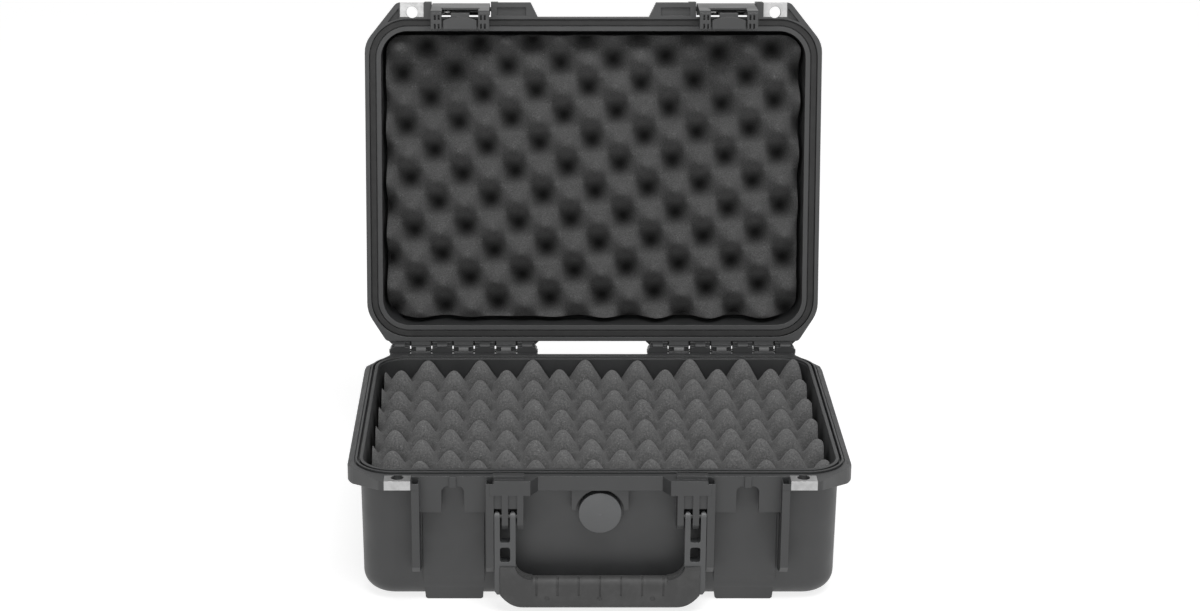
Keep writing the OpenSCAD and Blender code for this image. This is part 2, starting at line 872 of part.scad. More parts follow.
module lid_outer() {
  panel_edge = rim_out + lid_panel_in;
  translate([0, 0, rim_z + seam + lid_h])
    mirror([0, 0, 1])
      tub(case_w - 2 * rim_out, case_d - 2 * rim_out, rim_r - rim_out, lid_h, lid_fillet);
  translate([0, 0, rim_z + seam]) linear_extrude(flange_t) rim_plan(lid_front_in);
  translate([0, 0, rim_z + seam]) linear_extrude(band_h) front_plan(lid_front_in);
  translate([0, 0, rim_z + seam + lid_h - over])
    linear_extrude(lid_panel_h + over)
      rounded_plan(case_w - 2 * panel_edge, case_d - 2 * panel_edge, lid_panel_r);
  both_sides() {
    lid_rib(rib_out_x);
    lid_rib(rib_in_x);
    lid_hinge_row();
  }
}

module lid_cavity() {
  inner_w = case_w - 2 * rim_w;
  inner_d = case_d - 2 * rim_w;
  translate([0, 0, rim_z + seam + lid_h - wall])
    mirror([0, 0, 1]) tub(inner_w, inner_d, rim_r - rim_w, lid_h - wall, lid_fillet - wall);
  translate([0, 0, rim_z - over])
    linear_extrude(seam + 2 * over) rounded_plan(inner_w, inner_d, rim_r - rim_w);
}

// Gasket groove, and the step that clears the base's inner ridge
module lid_seal_grooves() {
  step_in = groove_in + groove_w;
  translate([0, 0, rim_z])
    round_ring(case_w, case_d, rim_r) {
      union() {
        translate([-step_in, -over]) square([groove_w, seam + groove_d + over]);
        translate([-rim_w - over, -over]) square([rim_w + over - step_in, seam + lid_step + over]);
      }
    }
}

module latch_pin_bore(x0, length, r) {
  translate([x0, fy(latch_pivot_f), rim_z + latch_pivot_h])
    rotate([0, 90, 0]) cylinder(h = length, r = r);
}

module lid_shell() {
  color(case_color) on_lid() difference() {
    lid_outer();
    lid_cavity();
    lid_seal_grooves();
    both_sides() {
      corner_pocket();
      plate_seat(rim_z + seam, rim_z + seam + flange_t);
      eye(rim_z + seam, rim_z + seam + flange_t);
      latch_pin_bore(rib_in_x + pocket_wall, rib_out_x - rib_in_x + rib_w - 2 * pocket_wall, latch_pin_r);
      hinge_bore(hinge_pin_r + pin_play);
      translate([
        locator_x - locator_w / 2 - locator_play, fy(locator_out + locator_play), rim_z - over
      ])
        cube([
          locator_w + 2 * locator_play, locator_out + 2 * locator_play, seam + locator_h + over + 0.5
        ]);
    }
  }
}

module lid_gasket() {
  color(seal_color) on_lid()
    translate([0, 0, rim_z + seam + groove_d - gasket_t])
      round_ring(case_w, case_d, rim_r)
        translate([-lip_in - gasket_w / 2, 0]) square([gasket_w, gasket_t]);
}

// ---------------------------------------------------------------- foam

foam_half_w = half_w - side_rim_w - foam_gap - 0.5;
foam_half_d = half_d - rim_w - foam_gap - 0.5;
lid_foam_half_w = half_w - rim_w - lid_foam_gap + 0.7;
lid_foam_half_d = half_d - rim_w - lid_foam_gap - 0.8;
block_corner_r = rim_r - rim_w + 1;
crate_corner_r = 16;
foam_floor = foot_h + wall + face_gap;
crate_floor = foam_floor + block_h + face_gap;
// Place of a peak of the base foam near its rear left corner, and of the lid foam near its front left one
base_peak = [-179, half_d - 27];
base_turn = 0.6;
lid_peak = [-181.5, -half_d + 32];
lid_turn = -3.9;

// Plain foam pad on z = 0 with corners of radius r, its lower edges rounded where the fillet isn't 0
module foam_pad(hw, hd, h, r, fillet) {
  round_ring(2 * hw, 2 * hd, r) {
    polygon([
      [over - r, 0], [-fillet, 0], [-fillet, fillet], [0, fillet], [0, h], [over - r, h]
    ]);
    if (fillet > 0)
      intersection() {
        translate([-fillet, fillet]) circle(fillet);
        translate([-fillet, 0]) square(fillet);
      }
  }
  core(2 * hw, 2 * hd, r, h);
}

// Convoluted sheet that reaches past a pad's sides: rows of peaks and pits on a grid of quarter
// pitches, turned about a place where a peak lies if sign is 1, and a pit if it is -1.
// Its middle surface is at the height mean, raised by bow at the front and back edges.
module crate_sheet(hw, hd, pitch, at, turn, mean, sign, bow = 0, tilt = 0) {
  step = pitch / 4;
  reach_x = hw * cos(turn) + hd * abs(sin(turn)) + step;
  reach_y = hd * cos(turn) + hw * abs(sin(turn)) + step;
  k0 = floor((-reach_x - at[0]) / step);
  l0 = floor((-reach_y - at[1]) / step);
  nx = ceil(2 * reach_x / step) + 1;
  ny = ceil(2 * reach_y / step) + 1;
  top = [
    for (l = [l0:l0 + ny], k = [k0:k0 + nx])
      let (y = (at[1] + k * step * sin(turn) + l * step * cos(turn)) / hd)
        [k * step, l * step, mean + sign * crate_amp * cos(90 * k) * cos(90 * l) + bow * y * y + tilt * y]
  ];
  // Indexes of the top points along the sheet's edge, once round
  edge = concat(
    [for (i = [0:nx - 1]) i],
    [for (j = [0:ny - 1]) j * (nx + 1) + nx],
    [for (i = [nx:-1:1]) ny * (nx + 1) + i],
    [for (j = [ny:-1:1]) j * (nx + 1)]
  );
  n = len(top);
  m = len(edge);
  foot = [for (k = edge) [top[k][0], top[k][1], -over]];
  middle = [(k0 + nx / 2) * step, (l0 + ny / 2) * step, -over];
  // Each square of the grid is split from its peak or pit to the opposite corner
  faces = concat(
    [
      for (j = [0:ny - 1], i = [0:nx - 1], half = [0, 1])
        let (a = j * (nx + 1) + i, b = a + nx + 1, across = abs(k0 + i + l0 + j) % 2)
          across == 0
            ? (half == 0 ? [a, b, b + 1] : [a, b + 1, a + 1])
            : (half == 0 ? [a, b, a + 1] : [b, b + 1, a + 1])
    ],
    [
      for (k = [0:m - 1], half = [0, 1])
        let (q = (k + 1) % m)
          half == 0 ? [edge[k], edge[q], n + q] : [edge[k], n + q, n + k]
    ],
    [for (k = [0:m - 1]) [n + m, n + k, n + (k + 1) % m]]
  );
  translate([at[0], at[1], 0])
    rotate(turn)
      polyhedron(points = concat(top, foot, [middle]), faces = faces);
}

module base_foam_block() {
  color(base_foam_color) placed()
    translate([0, 0, foam_floor])
      foam_pad(foam_half_w, foam_half_d, block_h, block_corner_r, base_fillet - wall);
}

module base_foam_crate() {
  mean = rim_z - crate_drop - crate_floor;
  color(base_foam_color) placed()
    translate([0, 0, crate_floor])
      intersection() {
        foam_pad(foam_half_w, foam_half_d, mean + 3 * crate_amp, crate_corner_r, 0);
        crate_sheet(
          foam_half_w, foam_half_d, crate_pitch, base_peak, base_turn, mean, -1, crate_bow, crate_tilt
        );
      }
}

module lid_foam_crate() {
  ceiling = rim_z + seam + lid_h - wall - face_gap;
  mean = ceiling - rim_z - lid_crate_in;
  color(lid_foam_color) on_lid()
    translate([0, 0, ceiling])
      mirror([0, 0, 1])
        intersection() {
          foam_pad(
            lid_foam_half_w, lid_foam_half_d, mean + 3 * crate_amp, crate_corner_r, lid_fillet - wall
          );
          crate_sheet(lid_foam_half_w, lid_foam_half_d, lid_crate_pitch, lid_peak, lid_turn, mean, 1);
        }
}

// ---------------------------------------------------------------- hinge pins

module hinge_pin() {
  translate([hinge_in, hinge_y, rim_z]) rotate([0, 90, 0]) cylinder(h = hinge_len, r = hinge_pin_r);
}

module hinge_pin_left() {
  color(steel_color) placed() mirror([1, 0, 0]) hinge_pin();
}

module hinge_pin_right() {
  color(steel_color) placed() hinge_pin();
}

// ---------------------------------------------------------------- handle

grip_z = handle_z - handle_len;
grip_end_h = 38.4;
inner_r = 14;
grip_corner_w = 25;
grip_corner_h = 13;
grip_corner_r = (grip_corner_w * grip_corner_w + grip_corner_h * grip_corner_h) / (2 * grip_corner_h);
strip_bottom = grip_z + grip_corner_h;
rung_h = 4.4;
rung_pitch = 17.6;
window_r = 2.2;
core_h = 10;
core_t = 4;
handle_in_x = tine_in_x - tine_w / 2;
grip_half = handle_half - tine_w;

// Front outline of one side of the hard frame above the grip: two tines with rounded tips on two rungs
module frame_side_section() {
  gap_w = tine_pitch - tine_w;
  side_z = grip_z + grip_end_h;
  tip_z = handle_z + tine_r - tine_w / 2;
  difference() {
    union() {
      translate([handle_in_x, side_z]) square([handle_half - handle_in_x, tip_z - side_z]);
      for (x = [tine_in_x, tine_out_x])
        translate([x, tip_z]) circle(tine_w / 2);
    }
    translate([(tine_in_x + tine_out_x) / 2, side_z + rung_h]) {
      translate([0, (rung_pitch - rung_h) / 2]) rounded_plan(gap_w, rung_pitch - rung_h, window_r);
      translate([0, rung_pitch + handle_len / 2]) rounded_plan(gap_w, handle_len, window_r);
    }
  }
  translate([grip_half, strip_bottom + 3]) square([tine_w, grip_end_h]);
  polygon([
    [grip_half, strip_bottom], [grip_half + tine_w - 2, strip_bottom],
    [handle_half, strip_bottom + 3], [grip_half, strip_bottom + 3]
  ]);
}

module handle_frame() {
  color(case_color) placed() difference() {
    union() {
      both_sides()
        intersection() {
          along_y(handle_y - tine_r, 2 * tine_r) frame_side_section();
          along_x(handle_in_x - over, handle_half - handle_in_x + 2 * over)
            union() {
              translate([handle_y, handle_z]) circle(tine_r);
              translate([handle_y - tine_r, grip_z]) square([2 * tine_r, handle_z - grip_z]);
            }
        }
      translate([-handle_half + over, handle_y - core_t / 2, strip_bottom + 2])
        cube([2 * (handle_half - over), core_t, core_h]);
    }
    both_sides()
      translate([handle_in_x - over, handle_y, handle_z])
        rotate([0, 90, 0])
          cylinder(h = handle_half - handle_in_x + 2 * over, r = handle_pin_r + pin_play);
  }
}

// Front outline of the soft grip
module grip_section() {
  difference() {
    intersection() {
      translate([-grip_half, grip_z]) square([2 * grip_half, grip_end_h]);
      union() {
        translate([-grip_half, strip_bottom]) square([2 * grip_half, grip_end_h]);
        translate([grip_corner_w - grip_half, grip_z])
          square([2 * (grip_half - grip_corner_w), grip_end_h]);
        for (s = [-1, 1])
          translate([s * (grip_half - grip_corner_w), grip_z + grip_corner_r]) circle(grip_corner_r);
      }
    }
    translate([-handle_in_x, grip_z + grip_h + inner_r]) square([2 * handle_in_x, grip_end_h]);
    translate([inner_r - handle_in_x, grip_z + grip_h]) square([2 * (handle_in_x - inner_r), grip_end_h]);
    for (s = [-1, 1])
      translate([s * (handle_in_x - inner_r), grip_z + grip_h + inner_r]) circle(inner_r);
  }
}

// Side outline of the grip, rounded along its lower edges
module grip_side_section() {
  edge_r = 5;
  translate([handle_y - grip_t / 2, grip_z + edge_r]) square([grip_t, grip_end_h]);
  translate([handle_y - grip_t / 2 + edge_r, grip_z]) square([grip_t - 2 * edge_r, grip_end_h]);
  for (s = [-1, 1])
    translate([handle_y + s * (grip_t / 2 - edge_r), grip_z + edge_r]) circle(edge_r);
}

grip_top = grip_z + grip_h;
grip_top_r = 5.5;

// What rounds off an edge that lies at the origin, with the grip on its positive X and negative Y
module grip_edge_section() {
  difference() {
    translate([-over, -grip_top_r]) square([grip_top_r + over, grip_top_r + over]);
    translate([grip_top_r, -grip_top_r]) circle(grip_top_r);
  }
}

// Cuts that round off the grip's upper edges, front and back, along the top and round its inner corners
module grip_top_edges() {
  straight = handle_in_x - inner_r;
  for (s = [0, 1])
    translate([0, handle_y, 0]) mirror([0, s, 0]) {
      along_x(-straight, 2 * straight)
        translate([-grip_t / 2, grip_top]) grip_edge_section();
      both_sides()
        translate([straight, 0, grip_top + inner_r])
          rotate([-90, 0, 0])
            rotate_extrude(angle = 90)
              translate([inner_r, -grip_t / 2]) rotate(-90) mirror([1, 0]) grip_edge_section();
    }
}

groove_size = 1.5;
groove_depth = 0.8;
groove_len = 15.5;

// Side outline of a finger groove, which runs up the face and over the rounded edge
module grip_groove_section() {
  difference() {
    translate([handle_y - grip_t / 2 - over, grip_top - groove_len])
      square([grip_t / 2 + over, groove_len + over]);
    translate([handle_y, grip_top - groove_depth - groove_len])
      rounded_plan(grip_t - 2 * groove_depth, 2 * groove_len, grip_top_r - groove_depth);
  }
}

module handle_grip() {
  face_y = handle_y - grip_t / 2;
  color(grip_color) placed() difference() {
    intersection() {
      along_y(face_y - over, grip_t + 2 * over) grip_section();
      along_x(-handle_half, 2 * handle_half) grip_side_section();
    }
    translate([-handle_half, handle_y - core_t / 2, strip_bottom + 2])
      cube([2 * handle_half, core_t, core_h]);
    grip_top_edges();
    for (i = [0:grip_grooves - 1])
      along_x((i - (grip_grooves - 1) / 2) * grip_pitch - groove_size / 2, groove_size)
        grip_groove_section();
    for (i = [-1:1])
      translate([i * grip_pitch * 2.5, face_y + 0.6, grip_z + 10])
        rotate([90, 0, 0]) cylinder(h = 0.6 + over, r = 2);
  }
}

module handle_pin() {
  translate([handle_pin_x, handle_y, handle_z])
    rotate([0, 90, 0]) cylinder(h = handle_pin_len, r = handle_pin_r);
}

module handle_pin_left() {
  color(steel_color) placed() mirror([1, 0, 0]) handle_pin();
}

module handle_pin_right() {
  color(steel_color) placed() handle_pin();
}

// ---------------------------------------------------------------- latches, drawn closed

// Places a latch piece, drawn about x = 0, on the lid's left or right
module on_latch(side) {
  on_lid() translate([side * latch_x, 0, 0]) children();
}

module arm_section() {
  translate([fy(latch_pivot_f), rim_z + latch_pivot_h]) circle(latch_barrel_r);
  polygon(fh([
    [latch_pivot_f + latch_barrel_r, latch_pivot_h], [arm_top_f, 0],
    [arm_tip_f, hook_bottom + 2], [arm_tip_f - 2, hook_bottom],
    [-hook_in, hook_bottom], [-hook_in, hook_top], [arm_in_f, hook_top],
    [arm_in_f, 2], [latch_pivot_f - latch_barrel_r + 1, latch_pivot_h - 3]
  ]));
}

module cover_section() {
  end_f = arm_top_f - 2.2;
  polygon(fh([
    [latch_pivot_f + latch_barrel_r, latch_pivot_h], [arm_top_f, 0], [end_f, cover_end],
    [end_f - cover_t, cover_end], [arm_top_f - cover_t, 0],
    [latch_pivot_f + latch_barrel_r - cover_t, latch_pivot_h]
  ]));
}

slot_w = 1.7;
slot_depth = 6;

// Moulding slots in the end of an arm, two near its outer edge and two near the hook's tip
module arm_slots() {
  for (x = [3.1, 6.6], f = [-0.6, -8.6])
    translate([
      arm_in_x + arm_w - x - slot_w,
      fy(f + 2.2),
      rim_z + hook_bottom - over
    ])
      cube([slot_w, 4.4, slot_depth + over]);
}

module latch_body(side) {
  color(latch_color) on_latch(side) difference() {
    union() {
      both_sides()
        along_x(arm_in_x, arm_w) arm_section();
      along_x(-arm_in_x - over, 2 * (arm_in_x + over)) {
        cover_section();
        translate([fy(latch_pivot_f), rim_z + latch_pivot_h]) circle(latch_barrel_r);
      }
    }
    both_sides() arm_slots();
    latch_pin_bore(-latch_w / 2 - over, latch_w + 2 * over, latch_pin_r + pin_play);
    trigger_axle(trigger_pin_half, trigger_pin_r);
  }
}

trigger_pin_half = arm_in_x + arm_w * 0.6;

module trigger_axle(half, r) {
  translate([-half, fy(trigger_f), rim_z + trigger_h]) rotate([0, 90, 0]) cylinder(h = 2 * half, r = r);
}

leg_in_f = 1;
leg_out_f = 3.4;
foot_front_f = -0.2;
foot_arch_r = 40;

// Leg in front of the catch panel that turns in below it
module trigger_leg_section() {
  translate([fy(trigger_f), rim_z + trigger_h]) circle(trigger_hub_r);
  polygon(fh([
    [trigger_f, trigger_h], [trigger_f - trigger_hub_r, trigger_h], [leg_in_f, trigger_h - 5],
    [leg_in_f, hook_top - face_gap], [-hook_in, hook_top - face_gap],
    [-hook_in, trigger_foot_h + trigger_foot_t - face_gap],
    [leg_out_f, trigger_foot_h + trigger_foot_t - face_gap], [leg_out_f, trigger_h - 5]
  ]));
}

// Foot under the leg: its outer edge is an arc, highest in the middle
module trigger_foot_plan() {
  intersection() {
    translate([-trigger_w / 2, fy(foot_front_f)]) square([trigger_w, foot_front_f + hook_in]);
    translate([0, fy(foot_front_f - foot_arch_r)]) circle(foot_arch_r);
  }
}

module latch_trigger(side) {
  color(latch_color) on_latch(side) difference() {
    union() {
      along_x(-trigger_hub_w / 2, trigger_hub_w) trigger_leg_section();
      translate([0, 0, rim_z + trigger_foot_h]) linear_extrude(trigger_foot_t) trigger_foot_plan();
    }
    trigger_axle(trigger_hub_w, trigger_pin_r + pin_play);
  }
}

module latch_body_left() {
  latch_body(-1);
}

module latch_body_right() {
  latch_body(1);
}

module latch_trigger_left() {
  latch_trigger(-1);
}

module latch_trigger_right() {
  latch_trigger(1);
}

module latch_pin(side) {
  color(steel_color) on_latch(side)
    latch_pin_bore(
      -bay_w / 2 - rib_w + pocket_wall, bay_w + 2 * rib_w - 2 * pocket_wall, latch_pin_r
    );
}

module latch_pin_left() {
  latch_pin(-1);
}

module latch_pin_right() {
  latch_pin(1);
}

module trigger_pin(side) {
  color(steel_color) on_latch(side) trigger_axle(trigger_pin_half, trigger_pin_r);
}

module trigger_pin_left() {
  trigger_pin(-1);
}

module trigger_pin_right() {
  trigger_pin(1);
}

spring_r = trigger_pin_r + spring_wire / 2 + 0.3;
spring_gap = 0.5;
spring_x = -arm_in_x + 1.2;

// Coil wound on the trigger pin: one tube of 6 sides, 8 rings to a turn
module trigger_spring(side) {
  rings = 8 * spring_turns;
  sides = 6;
  pitch = spring_wire + spring_gap;
  points = [
    for (i = [0:rings], k = [0:sides - 1])
      let (
        turn = 360 * i / 8,
        out = spring_r + spring_wire / 2 * cos(360 * k / sides),
        x = spring_x + pitch * i / 8 + spring_wire / 2 * sin(360 * k / sides)
      )
        [x, fy(trigger_f) + out * cos(turn), rim_z + trigger_h + out * sin(turn)]
  ];
  faces = concat(
    [[for (k = [0:sides - 1]) k]],
    [
      for (i = [0:rings - 1], k = [0:sides - 1], half = [0, 1])
        let (a = i * sides + k, b = i * sides + (k + 1) % sides)
          half == 0 ? [a, a + sides, b + sides] : [a, b + sides, b]
    ],
    [[for (k = [sides - 1:-1:0]) rings * sides + k]]
  );
  echo(least_spring_gap = min([
    for (i = [0:rings - 8], k = [0:sides - 1], l = [0:sides - 1])
      norm(points[i * sides + k] - points[(i + 8) * sides + l])
  ]));
  color(steel_color) on_latch(side) polyhedron(points = points, faces = faces);
}

module trigger_spring_left() {
  trigger_spring(-1);
}

module trigger_spring_right() {
  trigger_spring(1);
}

// ---------------------------------------------------------------- padlock plates

module base_plate() {
  plate(rim_z - flange_t, rim_z);
}

module lid_plate() {
  plate(rim_z + seam, rim_z + seam + flange_t);
}

module padlock_plate_base_left() {
  color(steel_color) placed() mirror([1, 0, 0]) base_plate();
}

module padlock_plate_base_right() {
  color(steel_color) placed() base_plate();
}

module padlock_plate_lid_left() {
  color(steel_color) on_lid() mirror([1, 0, 0]) lid_plate();
}

module padlock_plate_lid_right() {
  color(steel_color) on_lid() lid_plate();
}

// ---------------------------------------------------------------- valve

valve_flange_f = boss_f + valve_seal_t;
valve_face_f = valve_flange_f + valve_flange_t;
valve_bore_r = valve_stem_r - 2.6;
valve_stem_over = 0.1;
valve_stem_f = boss_in_f - valve_nut_t - valve_stem_over;
membrane_t = 0.5;

module valve_seal() {
  color(seal_color) placed() difference() {
    valve_cylinder(valve_stem_r + 4, boss_f, valve_flange_f);
    valve_cylinder(valve_stem_r + pin_play, boss_f - over, valve_flange_f + over);
  }
}

module valve_body() {
  color(case_color) placed() difference() {
    union() {
      valve_cylinder(valve_flange_r, valve_flange_f, valve_face_f);
      valve_cylinder(valve_stem_r, valve_stem_f, valve_flange_f + over);
    }
    valve_cylinder(valve_bore_r, valve_flange_f, valve_face_f + over);
    valve_cylinder(valve_bore_r - 1.4, valve_stem_f - over, valve_face_f);
  }
}

module valve_membrane() {
  color("white") placed() valve_cylinder(valve_bore_r - 0.05, valve_flange_f, valve_flange_f + membrane_t);
}

module valve_nut() {
  color(case_color) placed() difference() {
    translate([0, fy(boss_in_f - valve_nut_t), valve_z])
      rotate([90, 0, 0]) cylinder(h = valve_nut_t, r = valve_stem_r + 4, $fn = 6);
    valve_cylinder(valve_stem_r + pin_play, boss_in_f - valve_nut_t - over, boss_in_f + over);
  }
}

cap_skirt = 1.4;
cap_dome = 2.2;
cap_f = valve_face_f + 7.6;

// Domed cap, hollow below, that sits on the body with a ring inside its skirt
module valve_cap() {
  dome_r = (valve_r * valve_r + cap_dome * cap_dome) / (2 * cap_dome);
  edge_f = cap_f - cap_dome;
  ring_r = valve_flange_r - 1.5;
  color(latch_color) placed()
    translate([0, fy(0), valve_z])
      rotate([90, 0, 0])
        rotate_extrude() {
          translate([valve_r - cap_skirt, valve_flange_f + 0.4])
            square([cap_skirt, edge_f - valve_flange_f - 0.4]);
          translate([0, edge_f - 1.6]) square([valve_r, 1.6]);
          translate([ring_r - 1.5, valve_face_f]) square([1.5, edge_f - valve_face_f]);
          intersection() {
            translate([0, cap_f - dome_r]) circle(dome_r, $fn = 180);
            translate([0, edge_f]) square([valve_r, cap_dome]);
          }
        }
}

base_shell();
base_foam_block();
base_foam_crate();
lid_shell();
lid_gasket();
lid_foam_crate();
hinge_pin_left();
hinge_pin_right();
handle_frame();
handle_grip();
handle_pin_left();
handle_pin_right();
latch_body_left();
latch_body_right();
latch_pin_left();
latch_pin_right();
latch_trigger_left();
latch_trigger_right();
trigger_pin_left();
trigger_pin_right();
trigger_spring_left();
trigger_spring_right();
padlock_plate_base_left();
padlock_plate_base_right();
padlock_plate_lid_left();
padlock_plate_lid_right();
valve_body();
valve_cap();
valve_seal();
valve_nut();
valve_membrane();
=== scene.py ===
"""Looks of the microphone case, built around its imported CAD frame.

Metres, +Z up, the case standing open as in the photograph: its front faces -Y.
Order: frame, camera, lights and floor, materials, foams, finish.
"""

import json
import math

import bpy
from mathutils import Matrix, Vector, noise


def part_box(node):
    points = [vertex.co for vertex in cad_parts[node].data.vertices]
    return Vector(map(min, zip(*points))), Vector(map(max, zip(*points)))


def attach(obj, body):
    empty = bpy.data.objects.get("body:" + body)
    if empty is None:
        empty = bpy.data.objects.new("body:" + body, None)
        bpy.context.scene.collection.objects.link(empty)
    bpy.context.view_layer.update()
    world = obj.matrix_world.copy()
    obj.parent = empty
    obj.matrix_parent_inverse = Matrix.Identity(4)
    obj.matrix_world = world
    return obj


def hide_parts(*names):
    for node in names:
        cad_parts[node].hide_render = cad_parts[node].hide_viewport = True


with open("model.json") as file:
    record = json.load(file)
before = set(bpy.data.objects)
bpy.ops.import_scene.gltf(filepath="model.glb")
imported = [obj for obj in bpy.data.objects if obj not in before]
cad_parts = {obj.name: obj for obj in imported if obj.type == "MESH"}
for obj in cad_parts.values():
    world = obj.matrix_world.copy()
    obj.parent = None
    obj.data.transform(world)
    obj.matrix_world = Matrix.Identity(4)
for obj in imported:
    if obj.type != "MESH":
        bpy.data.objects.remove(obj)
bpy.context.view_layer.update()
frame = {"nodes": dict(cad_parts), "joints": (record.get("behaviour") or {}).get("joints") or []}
MM = 0.001
EVEN = (1, 1, 1)  # a texture that isn't stretched


# ---------------------------------------------------------------- camera

PHOTO_TILT = 18.29  # degrees that the photograph's camera looks down
CAMERA_AT = (-0.05522, -2.21962, 0.93712)
CAMERA_SENSOR = 36.0  # mm across
CAMERA_LENS = 78.114  # mm
CAMERA_SHIFT = 0.0548  # of the picture's width, because the case stands left of its middle


def make_camera():
    """The photograph's view: 1200 x 611, looking along +Y and down."""
    data = bpy.data.cameras.new("photo_camera")
    data.lens = CAMERA_LENS
    data.sensor_width = CAMERA_SENSOR
    data.sensor_fit = "HORIZONTAL"
    data.shift_x = CAMERA_SHIFT
    camera = bpy.data.objects.new("photo_camera", data)
    camera.location = CAMERA_AT
    camera.rotation_euler = (math.radians(90 - PHOTO_TILT), 0, 0)
    bpy.context.scene.collection.objects.link(camera)
    bpy.context.scene.camera = camera


# ---------------------------------------------------------------- node helpers


class Shader:
    """A node material with one Principled shader, and short calls that build its nodes."""

    def __init__(self, name, **sockets):
        self.material = bpy.data.materials.new(name)
        self.material.use_nodes = True
        self.tree = self.material.node_tree
        self.main = self.tree.nodes["Principled BSDF"]
        for socket, value in sockets.items():
            self.main.inputs[socket.replace("_", " ")].default_value = value

    def add(self, kind, inputs=None, **settings):
        """A new node. inputs maps a socket's name or number to a value, or to another socket."""
        new = self.tree.nodes.new("ShaderNode" + kind)
        for key, value in settings.items():
            setattr(new, key, value)
        for key, value in (inputs or {}).items():
            if isinstance(value, bpy.types.NodeSocket):
                self.tree.links.new(value, new.inputs[key])
            else:
                new.inputs[key].default_value = value
        return new

    def into(self, socket, source):
        self.tree.links.new(source, self.main.inputs[socket])

    def place(self, stretch=EVEN):
        """Coordinates in metres that stay with the piece."""
        at = self.add("TexCoord").outputs["Object"]
        if stretch == EVEN:
            return at
        return self.add("Mapping", {"Vector": at, "Scale": stretch}).outputs["Vector"]

    def noise(self, size, detail=2.0, rough=0.5, stretch=EVEN):
        """Noise with features of that size in metres, from 0 to 1."""
        inputs = {"Vector": self.place(stretch), "Scale": 1 / size, "Detail": detail, "Roughness": rough}
        return self.add("TexNoise", inputs).outputs["Fac"]

    def cells(self, size):
        """Distance to the nearest of scattered points, in cells of that size."""
        return self.add("TexVoronoi", {"Vector": self.place(), "Scale": 1 / size}).outputs["Distance"]

    def spread(self, value, low, high, to_low=0.0, to_high=1.0):
        """value from low..high stretched to to_low..to_high, and held there."""
        inputs = {"Value": value, "From Min": low, "From Max": high, "To Min": to_low, "To Max": to_high}
        return self.add("MapRange", inputs).outputs["Result"]

    def maths(self, operation, first, second):
        return self.add("Math", {0: first, 1: second}, operation=operation).outputs[0]

    def mix(self, share, first, second):
        """Two colours mixed by share."""
        inputs = {"Factor": share, 6: first, 7: second}
        return self.add("Mix", inputs, data_type="RGBA").outputs[2]

    def round_edges(self, radius):
        """The surface's normal with its edges rounded to that radius, and how near an edge is."""
        soft = self.add("Bevel", {"Radius": radius}, samples=4).outputs["Normal"]
        sharp = self.add("NewGeometry").outputs["Normal"]
        alike = self.add("VectorMath", {0: soft, 1: sharp}, operation="DOT_PRODUCT").outputs["Value"]
        return soft, self.spread(alike, 0.99, 0.8)

    def bump(self, height, depth, normal=None, strength=1.0):
        inputs = {"Height": height, "Distance": depth, "Strength": strength}
        if normal is not None:
            inputs["Normal"] = normal
        return self.add("Bump", inputs).outputs["Normal"]


def grey(value, warm=0.0):
    """A near-neutral colour; warm tips it to red, and below 0 to blue."""
    return (value * (1 + warm), value, value * (1 - warm), 1.0)


# ---------------------------------------------------------------- materials


PLASTIC_CAST = -0.03  # the plastics are faintly blue


def moulded_plastic(name, tone, roughness, gloss, grain=0.45 * MM, wear_and_highlight=0.35):
    """Moulded plastic: fine grain, faint flow marks, and edges paler and smoother, from wear and from a
    painted highlight.
    """
    s = Shader(name, Specular_IOR_Level=gloss)
    rounded, edge = s.round_edges(0.7 * MM)
    flow = s.spread(s.noise(60 * MM, 3.0, 0.6), 0.35, 0.65)
    speck = s.spread(s.noise(1.1 * MM, 2.0), 0.3, 0.7)
    body = s.mix(flow, grey(tone * 0.93, PLASTIC_CAST), grey(tone * 1.07, PLASTIC_CAST))
    body = s.mix(s.maths("MULTIPLY", speck, 0.35), body, grey(tone * 1.25, PLASTIC_CAST))
    # Paler edges: partly wear, partly a painted highlight.
    edge_wear_and_highlight = s.maths("MULTIPLY", edge, s.spread(s.noise(9 * MM, 2.0), 0.3, 0.7, wear_and_highlight * 0.5, wear_and_highlight))
    s.into("Base Color", s.mix(edge_wear_and_highlight, body, grey(tone * 2.1, PLASTIC_CAST)))
    dull = s.spread(s.noise(25 * MM, 3.0), 0.3, 0.7, roughness - 0.05, roughness + 0.05)
    s.into("Roughness", s.maths("SUBTRACT", dull, s.maths("MULTIPLY", edge_wear_and_highlight, 0.12)))
    s.into("Normal", s.bump(s.noise(grain, 2.0), 0.03 * MM, rounded))
    return s.material


def rubber(name, tone, roughness):
    """Soft black rubber: matt, with dust in its grain, and edges paler as a painted highlight."""
    s = Shader(name, Specular_IOR_Level=0.35)
    rounded, edge = s.round_edges(0.6 * MM)
    dust = s.spread(s.noise(14 * MM, 4.0, 0.65), 0.45, 0.75, 0.0, 0.5)
    # Paler edges: a painted highlight, over the dust.
    dust_and_edge_highlight = s.maths("MAXIMUM", dust, s.maths("MULTIPLY", edge, 0.4))
    s.into("Base Color", s.mix(dust_and_edge_highlight, grey(tone), grey(tone * 1.7)))
    s.into("Roughness", s.spread(s.noise(6 * MM), 0.3, 0.7, roughness - 0.06, roughness + 0.06))
    s.into("Normal", s.bump(s.noise(0.5 * MM, 3.0), 0.04 * MM, rounded))
    return s.material


